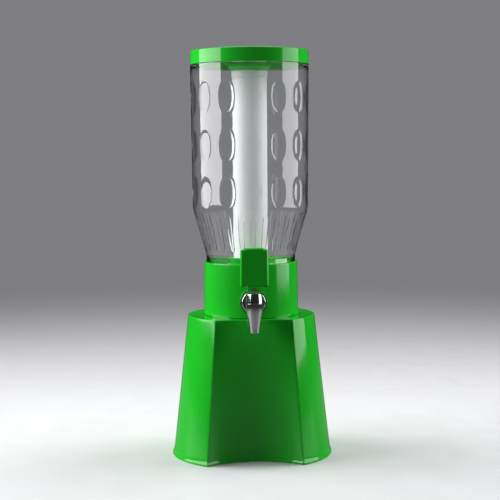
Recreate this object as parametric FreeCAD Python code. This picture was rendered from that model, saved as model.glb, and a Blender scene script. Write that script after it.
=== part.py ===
import FreeCAD, Part
import math
import os
from FreeCAD import Vector

# Beer tower dispenser. A flared stand holds a tap housing that plugs into its top, a clear
# vessel locks into the housing, and the lid carries an ice tube that hangs down the middle.
# Millimetres, +Z up. The tap faces -Y. The origin is on the table, under the foot's centre.

# Whole object
total_height = 500.0

# Stand: a cone with a concave bay under the tap
stand_height = 174.5
stand_top_radius = 78.9
stand_foot_radius = 98.4
lip_reach = 1.4
lip_thickness = 2.2
flare_waist = 4.8
flare_waist_reach = 0.5
flare_top = 9.0
stand_wall = 2.6
stand_deck = 3.0
stand_edge_round = 1.2
ridge_round = 1.4
bay_half_angle = 36.1
bay_top_depth = 60.8
bay_foot_depth = 56.3
socket_radius = 50.5
socket_wall = 2.5
socket_depth = 28.5
socket_floor = 2.4
drain_radius = 5.0
rib_thickness = 2.0
rib_angles = (30, 75, 105, 150, 210, 330)

# Tap housing: a cup with a spigot under it and a post for the ice tube in the middle
housing_foot = 175.8
housing_foot_radius = 58.9
housing_rim = 240.4
housing_rim_radius = 57.9
housing_wall = 2.4
housing_floor = 4.0
reveal_depth = 2.1
spigot_radius = 50.2
spigot_wall = 2.4
spigot_length = 24.5
seal_ledge_radius = 50.8
seal_ledge_top = 224.0
seal_ledge_thickness = 2.5
post_radius = 24.4
post_wall = 2.4
post_flare_start = 236.0
post_flare_radius = 29.4
post_top = 245.2
post_corner = 2.0
post_flare_corner = 3.0
cup_floor_drop = 1.5
cup_lip_rise = 4.5
cup_clearance = 0.6
latch_ledge_radius = 53.8
latch_ledge_bottom = 233.5
latch_ledge_height = 2.5
latch_ledge_span = 50.0
latch_count = 3
latch_first_angle = 90.0
pad_radius = 16.8
pad_face = 59.6
pad_inner_radius = 15.0
pad_inner_face = 54.6

# Clear vessel
vessel_wall = 2.4
vessel_bottom = 226.0
neck_radius = 55.2
neck_lower_radius = 53.4
neck_step = 236.6
neck_lower_wall = 2.4
cone_start = 249.6
shoulder_height = 306.0
shoulder_radius = 71.4
barrel_top = 482.6
barrel_top_radius = 73.1
rim_top = 496.2
rim_radius = 70.6
rim_wall = 2.2
vessel_lug_radius = 55.1
vessel_lug_span = 44.0
vessel_lug_height = 2.9
vessel_lug_gap = 0.2
neck_bend = 30.0
shoulder_bend = 45.0
barrel_edge = 0.3
neck_corner = 1.0
neck_blend = 1.5
rim_corner = 2.0
rim_blend = 1.5
rim_blend_drop = 4.5
inner_cone_shift = 0.4

# Thumb dimples on the barrel and flutes on the cone
dimple_columns = 14
dimple_heights = (327.6, 384.0, 441.8)
dimple_height = 36.0
dimple_width = 18.0
dimple_depth = 1.1
scoop_overrun = 1.3
flute_columns = 28
flute_bottom = 255.5
flute_top = 301.0
flute_width = 6.4
flute_depth = 0.8

# Lid
lid_foot = 482.9
lid_radius = 73.1
lid_wall = 2.2
lid_top_thickness = 2.6
lid_edge_round = 1.6
lid_plug_radius = 68.0
lid_plug_wall = 2.0
lid_plug_depth = 8.4
lid_panel_radius = 62.0
lid_panel_depth = 0.8
vent_radius = 1.2
vent_offset = 45.0
boss_radius = 26.3
boss_cone_top = 483.0
boss_foot = 476.0
boss_foot_radius = 22.4
boss_wall = 2.4
boss_corner = 2.0
boss_inner_corner = 1.0
plug_radius = 18.9
plug_wall = 2.2
plug_foot = 466.0
plug_lug_radius = 20.3
plug_lug_bottom = 467.0
plug_lug_height = 2.5
plug_lug_span = 24.0
plug_lug_angle = 60.0

# Ice tube
tube_radius = 21.3
tube_wall = 2.0
tube_bottom = 237.5
tube_bottom_round = 5.0
mouth_radius = 22.3
mouth_height = 7.5
mouth_bore_radius = 19.1
groove_radius = 20.5
groove_bottom = 466.6
groove_height = 3.4
groove_roof = 5.0
groove_taper = 1.5
mouth_taper = 1.0
tube_seal_inset = 0.4
tube_seal_bore_gap = 0.3
entry_span = 32.0

# Tap
tap_height = 195.4
tap_reach = 82.0
shank_radius = 8.0
shank_bore = 5.0
shank_end = 36.0
shank_hole_radius = 8.2
thread_pitch = 2.0
thread_depth = 0.6
thread_start = 52.6
flange_radius = 14.3
flange_thickness = 3.2
flange_round = 1.2
washer_thickness = 2.2
washer_radius = 15.7
rear_washer_thickness = 2.0
rear_washer_radius = 13.0
nut_across_flats = 22.0
nut_thickness = 7.0
nut_bore = 8.02
nut_corner_trim = 0.5
nut_chamfer = 1.0
nut_sides = 6
neck_pipe_radius = 6.2
neck_pipe_bore = 4.2
neck_pipe_start = 192.0
neck_pipe_end = 188.5
barrel_radius = 9.95
collar_radius = 8.7
collar_top = 205.0
chamber_radius = 7.9
chamber_bottom = 187.8
seat_radius = 4.6
seat_bottom = 184.5
spout_bore = 4.2
spout_tip = 161.5
spout_tip_radius = 5.95
spout_start = 192.5
spout_waist = ((9.15, 183.0), (6.95, 171.0))
seat_taper = 2.0
bonnet_bottom = 197.0
bonnet_top = 209.3
bonnet_radius = 10.1
bonnet_roof = 2.5
bonnet_round = 1.5
bonnet_edge = 0.3
bonnet_clearance = 0.05
stem_radius = 2.5
stem_clearance = 0.05
stem_top = 215.2
stem_foot = 186.6
stem_knob_radius = 4.0
stem_knob_height = 2.0
stem_knob_round = 0.4
cup_seal_gap = 0.05
cup_radius = 6.9
cup_shoulder = 190.2
cup_top = 193.0
cup_top_radius = 5.4
stem_seal_radius = 3.7
stem_seal_height = 1.4
spring_radius = 4.7
spring_wire = 0.45
spring_turns = 5

# Lever
pin_radius = 1.25
pin_clearance = 0.04
pin_rise = 3.2
pin_length = 16.6
fork_inner = 5.5
fork_thickness = 2.8
fork_front = 4.7
fork_rear = 4.2
fork_foot_gap = 0.2
fork_foot_round = 0.4
web_front = 4.4
web_thickness = 1.6
web_bottom_rise = 2.2
paddle_bottom = 216.3
paddle_shoulder = 261.0
paddle_top = 262.8
paddle_bottom_width = 34.2
paddle_top_width = 33.2
paddle_tab_width = 24.4
paddle_thickness = 5.2
paddle_round = 1.2
paddle_corner = 2.0
paddle_shoulder_round = 1.2
paddle_tab_foot_round = 0.6
paddle_tab_round = 0.8

# Shared small sizes
small_round = 0.6
flat_tolerance = 0.01
overlap = 1.0
full_turn = 360.0
half_turn = 180.0


def corner_tangents(before, corner, after, radius):
    """Where a round of the given radius touches the two sides of a corner, and its middle."""
    to_before = (before - corner).normalize()
    to_after = (after - corner).normalize()
    half = to_before.getAngle(to_after) / 2
    reach = radius / math.tan(half)
    bisector = (to_before + to_after).normalize()
    middle = corner + bisector * (radius / math.sin(half) - radius)
    return corner + to_before * reach, middle, corner + to_after * reach


def section(corners):
    """A closed face in the XZ plane from (radius, height, round) corners."""
    points = [Vector(corner[0], 0, corner[1]) for corner in corners]
    rounds = [corner[2] if len(corner) > 2 else 0 for corner in corners]
    count = len(points)
    starts = []
    ends = []
    edges = []
    for index in range(count):
        point = points[index]
        if rounds[index] == 0:
            starts.append(point)
            ends.append(point)
            continue
        before = points[index - 1]
        after = points[(index + 1) % count]
        start, middle, end = corner_tangents(before, point, after, rounds[index])
        starts.append(start)
        ends.append(end)
        edges.append(Part.Arc(start, middle, end).toShape())
    for index in range(count):
        start = ends[index]
        end = starts[(index + 1) % count]
        if start.distanceToPoint(end) > 1e-6:
            edges.append(Part.LineSegment(start, end).toShape())
    return Part.Face(Part.Wire(Part.__sortEdges__(edges)))


def turned(corners):
    """A solid of revolution about the tower's axis."""
    return section(corners).revolve(Vector(0, 0, 0), Vector(0, 0, 1), full_turn)


def ring(outer, inner, bottom, top):
    """A plain ring about the tower's axis."""
    height = top - bottom
    base = Vector(0, 0, bottom)
    return Part.makeCylinder(outer, height, base).cut(Part.makeCylinder(inner, height, base))


def ring_sector(outer, inner, bottom, top, middle_angle, span):
    """A piece of a ring, centred on an angle from the +X axis."""
    height = top - bottom
    base = Vector(0, 0, bottom)
    up = Vector(0, 0, 1)
    wedge = Part.makeCylinder(outer, height, base, up, span)
    wedge.rotate(Vector(0, 0, 0), up, middle_angle - span / 2)
    return wedge.cut(Part.makeCylinder(inner, height, base))


def along_front(radius, front, back, height):
    """A cylinder that runs along Y, from the front depth to the back depth."""
    base = Vector(0, -front, height)
    return Part.makeCylinder(radius, front - back, base, Vector(0, 1, 0))


def moved_to_tap(shape):
    """Moves a shape made about the tower's axis onto the tap's upright axis."""
    moved = shape.copy()
    moved.translate(Vector(0, -tap_reach, 0))
    return moved


def edges_where(shape, test):
    return [edge for edge in shape.Edges if test(edge)]


# Stand

def stand_radius(height):
    return stand_foot_radius + (stand_top_radius - stand_foot_radius) * height / stand_height


def bay_arc(height, offset):
    """Centre and radius of the bay's arc at a height, for a wall moved outward by offset."""
    radius = stand_radius(height)
    half_chord = radius * math.sin(math.radians(bay_half_angle))
    corner_depth = radius * math.cos(math.radians(bay_half_angle))
    middle_depth = bay_foot_depth + (bay_top_depth - bay_foot_depth) * height / stand_height
    sagitta = corner_depth - middle_depth
    bend = (half_chord ** 2 + sagitta ** 2) / (2 * sagitta)
    return -(middle_depth + bend), bend - offset


def stand_outline(height, offset):
    """The stand's level outline: three arcs round the back, the bay's arc, and a round at each ridge."""
    radius = stand_radius(height) + offset
    centre, bend = bay_arc(height, offset)
    inner = radius - ridge_round
    outer = bend + ridge_round
    ridge_y = (inner ** 2 + centre ** 2 - outer ** 2) / (2 * centre)
    ridge = Vector(math.sqrt(inner ** 2 - ridge_y ** 2), ridge_y, height)
    bay_centre = Vector(0, centre, height)
    on_back = Vector(ridge.x * radius / inner, ridge.y * radius / inner, height)
    on_bay = bay_centre + (ridge - bay_centre) * (bend / outer)
    outward = (on_back - ridge).normalize() + (on_bay - ridge).normalize()
    nose = ridge + outward.normalize() * ridge_round
    first = math.atan2(ridge.y, ridge.x)
    sweep = math.pi - 2 * first

    def on_circle(share):
        angle = first + sweep * share
        return Vector(radius * math.cos(angle), radius * math.sin(angle), height)

    def across(point):
        return Vector(-point.x, point.y, point.z)

    edges = []
    for third in range(3):
        ends = [on_circle(third / 3), on_circle((third + 0.5) / 3), on_circle((third + 1) / 3)]
        edges.append(Part.Arc(*ends).toShape())
    edges.append(Part.Arc(across(on_back), across(nose), across(on_bay)).toShape())
    edges.append(Part.Arc(across(on_bay), Vector(0, centre + bend, height), on_bay).toShape())
    edges.append(Part.Arc(on_bay, nose, on_back).toShape())
    return Part.Wire(edges)


def stand_slab(low, low_offset, high, high_offset):
    wires = [stand_outline(low, low_offset), stand_outline(high, high_offset)]
    return Part.makeLoft(wires, True, True)


def make_stand():
    body = stand_slab(flare_top, 0, stand_height, 0)
    rim = edges_where(body, lambda edge: edge.BoundBox.ZMin > stand_height - flat_tolerance)
    body = body.makeFillet(stand_edge_round, rim)
    waist = stand_slab(flare_waist, flare_waist_reach, flare_top, 0)
    flare = stand_slab(lip_thickness, lip_reach, flare_waist, flare_waist_reach)
    lip = stand_slab(0, lip_reach, lip_thickness, lip_reach)
    body = body.fuse([waist, flare, lip])

    deck_underside = stand_height - stand_deck
    hollow = stand_slab(-overlap, -stand_wall, deck_underside, -stand_wall)
    socket_bottom = stand_height - socket_depth
    socket_outer = socket_radius + socket_wall
    socket = Part.makeCylinder(socket_outer, socket_depth + socket_floor + overlap,
                               Vector(0, 0, socket_bottom - socket_floor))
    fill = [socket]
    for angle in rib_angles:
        rib = Part.makeBox(stand_foot_radius, rib_thickness, socket_depth + socket_floor)
        rib.translate(Vector(socket_radius, -rib_thickness / 2, socket_bottom - socket_floor))
        rib.rotate(Vector(0, 0, 0), Vector(0, 0, 1), angle)
        fill.append(rib)
    hollow = hollow.cut(fill)
    body = body.cut(hollow)
    body = body.cut(Part.makeCylinder(socket_radius, socket_depth + overlap, Vector(0, 0, socket_bottom)))
    drain = Part.makeCylinder(drain_radius, stand_height, Vector(0, 0, socket_bottom - socket_depth))
    return body.cut(drain)


# Tap housing

def housing_radius(height):
    share = (height - housing_foot) / (housing_rim - housing_foot)
    return housing_foot_radius + (housing_rim_radius - housing_foot_radius) * share


def make_housing():
    floor_top = stand_height + housing_floor
    ledge_bottom = seal_ledge_top - seal_ledge_thickness
    inner_rim = housing_rim_radius - housing_wall
    cup_bore = tube_radius + cup_clearance
    cup_floor = tube_bottom - cup_floor_drop
    post_inner = post_radius - post_wall
    spigot_inner = spigot_radius - spigot_wall
    spigot_bottom = stand_height - spigot_length
    reveal_radius = housing_foot_radius - reveal_depth
    flare_inner = post_flare_radius - post_wall
    body = turned([
        (housing_foot_radius, housing_foot, small_round),
        (housing_rim_radius, housing_rim, small_round),
        (inner_rim, housing_rim, small_round),
        (inner_rim, seal_ledge_top),
        (seal_ledge_radius, seal_ledge_top),
        (seal_ledge_radius, ledge_bottom),
        (housing_radius(ledge_bottom) - housing_wall, ledge_bottom),
        (housing_radius(floor_top) - housing_wall, floor_top, post_corner),
        (post_radius, floor_top, post_corner),
        (post_radius, post_flare_start, post_flare_corner),
        (post_flare_radius, post_top, small_round),
        (flare_inner, post_top, small_round),
        (cup_bore, cup_floor + cup_lip_rise, post_corner),
        (cup_bore, cup_floor),
        (0, cup_floor),
        (0, cup_floor - post_wall),
        (post_inner, cup_floor - post_wall, post_corner),
        (post_inner, stand_height),
        (spigot_inner, stand_height),
        (spigot_inner, spigot_bottom),
        (spigot_radius, spigot_bottom, small_round),
        (spigot_radius, stand_height),
        (reveal_radius, stand_height),
        (reveal_radius, housing_foot),
    ])
    ledges = []
    ledge_top = latch_ledge_bottom + latch_ledge_height
    for index in range(latch_count):
        angle = latch_first_angle + index * full_turn / latch_count
        ledges.append(ring_sector(inner_rim + small_round, latch_ledge_radius,
                                  latch_ledge_bottom, ledge_top, angle, latch_ledge_span))
    pad = along_front(pad_radius, pad_face, pad_inner_face, tap_height)
    inner_pad = along_front(pad_inner_radius, pad_face, pad_inner_face, tap_height)
    hollow_cone = Part.makeCone(housing_radius(floor_top) - housing_wall, inner_rim,
                                ledge_bottom - floor_top, Vector(0, 0, floor_top))
    pad = pad.cut(hollow_cone)
    body = body.fuse(ledges + [pad, inner_pad])
    hole = along_front(shank_hole_radius, pad_face + overlap, pad_inner_face - overlap, tap_height)
    return body.cut(hole)


# Clear vessel

def vessel_barrel_radius(height):
    share = (height - shoulder_height) / (barrel_top - shoulder_height)
    return shoulder_radius + (barrel_top_radius - shoulder_radius) * share


def vessel_cone_radius(height):
    share = (height - cone_start) / (shoulder_height - cone_start)
    return neck_radius + (shoulder_radius - neck_radius) * share


def scoop(height, wall_radius, lean, length, width, depth):
    """A spindle that grazes the wall at +X, so that it leaves an oval scoop in it."""
    half = length / 2
    long_bend = half ** 2 / (2 * depth)
    wall_sagitta = (width / 2) ** 2 / (2 * wall_radius)
    cross_bend = (width / 2) ** 2 / (2 * (depth - wall_sagitta))
    reach = min(half * scoop_overrun, math.sqrt(long_bend * cross_bend))
    end_radius = cross_bend - reach ** 2 / (2 * long_bend)
    side = Part.Arc(Vector(end_radius, 0, -reach), Vector(cross_bend, 0, 0), Vector(end_radius, 0, reach))
    edges = [
        side.toShape(),
        Part.LineSegment(Vector(end_radius, 0, reach), Vector(0, 0, reach)).toShape(),
        Part.LineSegment(Vector(0, 0, reach), Vector(0, 0, -reach)).toShape(),
        Part.LineSegment(Vector(0, 0, -reach), Vector(end_radius, 0, -reach)).toShape(),
    ]
    spindle = Part.Face(Part.Wire(edges)).revolve(Vector(0, 0, 0), Vector(0, 0, 1), full_turn)
    spindle.translate(Vector(cross_bend - depth, 0, 0))
    spindle.rotate(Vector(0, 0, 0), Vector(0, 1, 0), lean)
    spindle.translate(Vector(wall_radius, 0, height))
    return spindle


def round_tower(shape, angle):
    """Turns a copy of a shape about the tower, from +X to an angle measured from the front."""
    copy = shape.copy()
    copy.rotate(Vector(0, 0, 0), Vector(0, 0, 1), angle - 90)
    return copy


def make_vessel():
    inner_low = neck_lower_radius - neck_lower_wall
    inner_neck = neck_radius - vessel_wall
    rim_inner = rim_radius - rim_wall
    body = turned([
        (neck_lower_radius, vessel_bottom, small_round),
        (neck_lower_radius, neck_step, small_round),
        (neck_radius, neck_step, small_round),
        (neck_radius, cone_start, neck_bend),
        (shoulder_radius, shoulder_height, shoulder_bend),
        (barrel_top_radius, barrel_top, barrel_edge),
        (rim_radius, barrel_top),
        (rim_radius, rim_top, small_round),
        (rim_inner, rim_top, small_round),
        (rim_inner, barrel_top + rim_blend, rim_corner),
        (barrel_top_radius - vessel_wall, barrel_top - rim_blend_drop, rim_corner),
        (shoulder_radius - vessel_wall, shoulder_height + inner_cone_shift, shoulder_bend),
        (inner_neck, cone_start + inner_cone_shift, neck_bend),
        (inner_neck, neck_step + neck_blend, neck_corner),
        (inner_low, neck_step - neck_blend, neck_corner),
        (inner_low, vessel_bottom, small_round),
    ])
    lugs = []
    lug_top = latch_ledge_bottom - vessel_lug_gap
    for index in range(latch_count):
        angle = latch_first_angle + index * full_turn / latch_count
        lugs.append(ring_sector(vessel_lug_radius, neck_lower_radius - overlap,
                                lug_top - vessel_lug_height, lug_top, angle, vessel_lug_span))
    body = body.fuse(lugs)

    cutters = []
    for height in dimple_heights:
        wall_radius = vessel_barrel_radius(height)
        lean = math.degrees(math.atan2(barrel_top_radius - shoulder_radius, barrel_top - shoulder_height))
        dimple = scoop(height, wall_radius, lean, dimple_height, dimple_width, dimple_depth)
        for index in range(dimple_columns):
            cutters.append(round_tower(dimple, index * full_turn / dimple_columns))
    flute_height = (flute_bottom + flute_top) / 2
    flute_lean = math.degrees(math.atan2(shoulder_radius - neck_radius, shoulder_height - cone_start))
    flute_length = (flute_top - flute_bottom) / math.cos(math.radians(flute_lean))
    flute = scoop(flute_height, vessel_cone_radius(flute_height), flute_lean,
                  flute_length, flute_width, flute_depth)
    for index in range(flute_columns):
        cutters.append(round_tower(flute, index * full_turn / flute_columns))
    return body.cut(cutters)


def make_vessel_seal():
    """Flat silicone ring between the housing's ledge and the vessel's neck."""
    return ring(neck_lower_radius, neck_lower_radius - neck_lower_wall, seal_ledge_top, vessel_bottom)


# Lid

def make_lid():
    underside = total_height - lid_top_thickness
    skirt_inner = lid_radius - lid_wall
    plug_inner = lid_plug_radius - lid_plug_wall
    boss_inner = boss_radius - boss_wall
    tube_plug_inner = plug_radius - plug_wall
    body = turned([
        (0, underside),
        (boss_inner, underside, boss_inner_corner),
        (boss_inner, boss_cone_top + boss_corner, boss_corner),
        (tube_plug_inner, boss_foot + boss_corner, boss_corner),
        (tube_plug_inner, plug_foot),
        (plug_radius, plug_foot, small_round),
        (plug_radius, boss_foot),
        (boss_foot_radius, boss_foot, small_round),
        (boss_radius, boss_cone_top, boss_corner),
        (boss_radius, underside),
        (plug_inner, underside),
        (plug_inner, underside - lid_plug_depth),
        (lid_plug_radius, underside - lid_plug_depth, small_round),
        (lid_plug_radius, underside),
        (skirt_inner, underside),
        (skirt_inner, lid_foot),
        (lid_radius, lid_foot, small_round),
        (lid_radius, total_height, lid_edge_round),
        (lid_panel_radius, total_height, small_round),
        (lid_panel_radius - lid_panel_depth, total_height - lid_panel_depth, small_round),
        (0, total_height - lid_panel_depth),
    ])
    lugs = []
    for index in range(2):
        angle = plug_lug_angle + index * half_turn
        lugs.append(ring_sector(plug_lug_radius, plug_radius - overlap, plug_lug_bottom,
                                plug_lug_bottom + plug_lug_height, angle, plug_lug_span))
    body = body.fuse(lugs)
    vent = Part.makeCylinder(vent_radius, total_height, Vector(0, vent_offset, underside - overlap))
    return body.cut(vent)


def make_lid_seal():
    """Flat ring between the vessel's rim and the lid."""
    return ring(rim_radius, rim_radius - rim_wall, rim_top, total_height - lid_top_thickness)


# Ice tube

def mouth_top():
    return groove_bottom + groove_height + groove_roof


def make_ice_tube():
    top = mouth_top()
    inner = tube_radius - tube_wall
    mouth_bottom = top - mouth_height
    body = turned([
        (0, tube_bottom),
        (tube_radius, tube_bottom, tube_bottom_round),
        (tube_radius, mouth_bottom - mouth_taper),
        (mouth_radius, mouth_bottom, small_round),
        (mouth_radius, top, small_round),
        (mouth_bore_radius, top),
        (mouth_bore_radius, groove_bottom + groove_height),
        (groove_radius, groove_bottom + groove_height),
        (groove_radius, groove_bottom),
        (inner, groove_bottom - groove_taper),
        (inner, tube_bottom + tube_wall, tube_bottom_round - tube_wall),
        (0, tube_bottom + tube_wall),
    ])
    entries = []
    for index in range(2):
        angle = index * half_turn
        entries.append(ring_sector(groove_radius, mouth_bore_radius - overlap,
                                   groove_bottom + overlap, top + overlap, angle, entry_span))
    return body.cut(entries)


def make_tube_seal():
    """Flat ring between the lid's boss and the ice tube's mouth."""
    inner = mouth_bore_radius + tube_seal_bore_gap
    return ring(mouth_radius - tube_seal_inset, inner, mouth_top(), boss_foot)


# Tap

def make_tap_body():
    flange_back = pad_face + washer_thickness
    flange_front = flange_back + flange_thickness
    flange = along_front(flange_radius, flange_front, flange_back, tap_height)
    front_rim = edges_where(flange, lambda edge: abs(edge.CenterOfMass.y + flange_front) < flat_tolerance
                            and edge.BoundBox.XLength > flange_radius)
    flange = flange.makeFillet(flange_round, front_rim)
    shank = along_front(shank_radius, flange_back, shank_end, tap_height)
    grooves = []
    groove_count = int((thread_start - shank_end) / thread_pitch)
    for index in range(groove_count):
        depth = shank_end + thread_pitch * (index + 0.5)
        groove = along_front(shank_radius + overlap, depth + thread_pitch / 2, depth, tap_height)
        core = along_front(shank_radius - thread_depth, depth + thread_pitch / 2, depth, tap_height)
        grooves.append(groove.cut(core))
    shank = shank.cut(grooves)

    spout_side = Part.BSplineCurve()
    top = Vector(barrel_radius, 0, spout_start)
    tip = Vector(spout_tip_radius, 0, spout_tip)
    waist = [Vector(radius, 0, height) for radius, height in spout_waist]
    spout_side.interpolate([top] + waist + [tip])
    edges = [
        spout_side.toShape(),
        Part.LineSegment(tip, Vector(0, 0, spout_tip)).toShape(),
        Part.LineSegment(Vector(0, 0, spout_tip), Vector(0, 0, collar_top)).toShape(),
        Part.LineSegment(Vector(0, 0, collar_top), Vector(collar_radius, 0, collar_top)).toShape(),
        Part.LineSegment(Vector(collar_radius, 0, collar_top),
                         Vector(collar_radius, 0, bonnet_bottom)).toShape(),
        Part.LineSegment(Vector(collar_radius, 0, bonnet_bottom),
                         Vector(barrel_radius, 0, bonnet_bottom)).toShape(),
        Part.LineSegment(Vector(barrel_radius, 0, bonnet_bottom), top).toShape(),
    ]
    spout = Part.Face(Part.Wire(edges)).revolve(Vector(0, 0, 0), Vector(0, 0, 1), full_turn)
    spout = moved_to_tap(spout)

    start = Vector(0, -(flange_front - overlap), neck_pipe_start)
    end = Vector(0, -(tap_reach - chamber_radius / 2), neck_pipe_end)
    run = end - start
    pipe = Part.makeCylinder(neck_pipe_radius, run.Length, start, run)
    body = flange.fuse([shank, spout, pipe])

    chamber = moved_to_tap(turned([
        (0, spout_tip - overlap),
        (spout_bore, spout_tip - overlap),
        (spout_bore, seat_bottom - seat_taper),
        (seat_radius, seat_bottom),
        (chamber_radius, chamber_bottom),
        (chamber_radius, collar_top + overlap),
        (0, collar_top + overlap),
    ]))
    bore = along_front(shank_bore, flange_front - overlap, shank_end - overlap, tap_height)
    passage_start = start + Vector(0, 2 * overlap, 0)
    passage_run = end - passage_start
    passage = Part.makeCylinder(neck_pipe_bore, passage_run.Length, passage_start, passage_run)
    return body.cut([chamber, bore, passage])


def make_front_washer():
    disc = along_front(washer_radius, pad_face + washer_thickness, pad_face, tap_height)
    return disc.cut(along_front(shank_radius, pad_face + washer_thickness, pad_face, tap_height))


def make_rear_washer():
    back = pad_inner_face - rear_washer_thickness
    disc = along_front(rear_washer_radius, pad_inner_face, back, tap_height)
    return disc.cut(along_front(shank_radius, pad_inner_face, back, tap_height))


def make_shank_nut():
    front = pad_inner_face - rear_washer_thickness
    corner_radius = nut_across_flats / 2 / math.cos(math.pi / nut_sides)
    corners = []
    for index in range(nut_sides + 1):
        angle = 2 * math.pi * index / nut_sides
        corners.append(Vector(corner_radius * math.cos(angle), -front,
                              tap_height + corner_radius * math.sin(angle)))
    nut = Part.Face(Part.makePolygon(corners)).extrude(Vector(0, nut_thickness, 0))
    trim = along_front(corner_radius - nut_corner_trim, front, front - nut_thickness, tap_height)
    flat_rims = edges_where(trim, lambda edge: edge.BoundBox.XLength > corner_radius
                            and edge.BoundBox.YLength < flat_tolerance)
    nut = nut.common(trim.makeChamfer(nut_chamfer, flat_rims))
    return nut.cut(along_front(nut_bore, front + overlap, front - nut_thickness - overlap, tap_height))


def make_bonnet():
    inner = collar_radius + bonnet_clearance
    hole = stem_radius + stem_clearance
    return moved_to_tap(turned([
        (inner, bonnet_bottom),
        (bonnet_radius, bonnet_bottom, bonnet_edge),
        (bonnet_radius, bonnet_top, bonnet_round),
        (hole, bonnet_top, bonnet_edge),
        (hole, bonnet_top - bonnet_roof),
        (inner, bonnet_top - bonnet_roof),
    ]))


def stem_solid():
    knob_top = stem_foot + stem_knob_height
    return moved_to_tap(turned([
        (0, stem_foot),
        (stem_knob_radius, stem_foot, stem_knob_round),
        (stem_knob_radius, knob_top, stem_knob_round),
        (stem_radius, knob_top),
        (stem_radius, stem_top, small_round),
        (0, stem_top),
    ]))


def pin_height():
    return bonnet_top + pin_rise


def pin_solid():
    base = Vector(-pin_length / 2, -tap_reach, pin_height())
    return Part.makeCylinder(pin_radius, pin_length, base, Vector(1, 0, 0))


def make_seat_cup():
    """Soft cup on the stem's knob. Its cone lies on the seat when the tap is shut."""
    shift = cup_seal_gap * math.sqrt(2)
    foot = seat_bottom + shift
    cone_top = foot + (cup_radius - seat_radius)
    cup = moved_to_tap(turned([
        (0, foot),
        (seat_radius, foot),
        (cup_radius, cone_top),
        (cup_radius, cup_shoulder, small_round),
        (cup_top_radius, cup_top),
        (0, cup_top),
    ]))
    return cup.cut(stem_solid())


def make_stem_seal():
    top = bonnet_top - bonnet_roof
    return moved_to_tap(ring(stem_seal_radius, stem_radius + stem_clearance, top - stem_seal_height, top))


def make_valve_spring():
    """Compression spring between the seat cup and the bonnet's roof."""
    bottom = cup_top + spring_wire
    top = bonnet_top - bonnet_roof - spring_wire
    height = top - bottom
    path = Part.makeHelix(height / spring_turns, height, spring_radius)
    wire_face = Part.makeCircle(spring_wire, Vector(spring_radius, 0, 0), Vector(0, 1, 0))
    coil = Part.Wire(path.Edges).makePipeShell([Part.Wire(wire_face)], True, True)
    coil.translate(Vector(0, 0, bottom))
    return moved_to_tap(coil)


# Lever

def upright_plate(corners, front, back):
    """A plate across X, from (x, height, round) corners, between two depths."""
    face = section(corners)
    face.translate(Vector(0, -front, 0))
    return face.extrude(Vector(0, front - back, 0))


def make_handle():
    half_bottom = paddle_bottom_width / 2
    half_top = paddle_top_width / 2
    half_tab = paddle_tab_width / 2
    front = tap_reach + paddle_thickness / 2
    back = tap_reach - paddle_thickness / 2
    paddle = upright_plate([
        (-half_bottom, paddle_bottom, paddle_corner),
        (half_bottom, paddle_bottom, paddle_corner),
        (half_top, paddle_shoulder, paddle_shoulder_round),
        (half_tab, paddle_shoulder, paddle_tab_foot_round),
        (half_tab, paddle_top, paddle_tab_round),
        (-half_tab, paddle_top, paddle_tab_round),
        (-half_tab, paddle_shoulder, paddle_tab_foot_round),
        (-half_top, paddle_shoulder, paddle_shoulder_round),
    ], front, back)
    rims = edges_where(paddle, lambda edge: edge.BoundBox.YLength < flat_tolerance)
    paddle = paddle.makeFillet(paddle_round, rims)

    foot = bonnet_top + fork_foot_gap
    fork_front_depth = tap_reach + fork_front
    fork_back_depth = tap_reach - fork_rear
    parts = []
    for side in (-1, 1):
        outer = fork_inner + fork_thickness
        left = min(side * fork_inner, side * outer)
        leg = Part.makeBox(fork_thickness, fork_front_depth - fork_back_depth,
                           paddle_bottom + 2 * overlap - foot,
                           Vector(left, -fork_front_depth, foot))
        lower = edges_where(leg, lambda edge: edge.BoundBox.ZLength < flat_tolerance
                            and edge.BoundBox.XLength > overlap
                            and edge.BoundBox.ZMin < foot + flat_tolerance)
        parts.append(leg.makeFillet(fork_foot_round, lower))
    web_bottom = pin_height() + web_bottom_rise
    web = Part.makeBox(2 * fork_inner, web_thickness, paddle_bottom + 2 * overlap - web_bottom,
                       Vector(-fork_inner, -(tap_reach + web_front), web_bottom))
    parts.append(web)
    body = paddle.fuse(parts)
    bore = Part.makeCylinder(pin_radius + pin_clearance, 2 * pin_length,
                             Vector(-pin_length, -tap_reach, pin_height()), Vector(1, 0, 0))
    return body.cut(bore)


def make_valve_stem():
    return stem_solid().cut(pin_solid())


parts = {
    "base_stand": make_stand,
    "tap_housing": make_housing,
    "vessel": make_vessel,
    "vessel_seal": make_vessel_seal,
    "lid": make_lid,
    "lid_seal": make_lid_seal,
    "ice_tube": make_ice_tube,
    "ice_tube_seal": make_tube_seal,
    "tap_body": make_tap_body,
    "front_washer": make_front_washer,
    "rear_washer": make_rear_washer,
    "shank_nut": make_shank_nut,
    "tap_bonnet": make_bonnet,
    "valve_stem": make_valve_stem,
    "seat_cup": make_seat_cup,
    "stem_seal": make_stem_seal,
    "valve_spring": make_valve_spring,
    "handle_pin": pin_solid,
    "tap_handle": make_handle,
}

os.makedirs("parts", exist_ok=True)
for name, maker in parts.items():
    shape = maker()
    box = shape.BoundBox
    print(name, "solids", len(shape.Solids), "valid", shape.isValid(), "volume", round(shape.Volume),
          "z", round(box.ZMin, 2), round(box.ZMax, 2), "x", round(box.XMin, 2), round(box.XMax, 2),
          "y", round(box.YMin, 2), round(box.YMax, 2))
    shape.exportStep(os.path.join("parts", name + ".step"))
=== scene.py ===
import math

import bmesh
import bpy
from mathutils import Matrix, Vector


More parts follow.
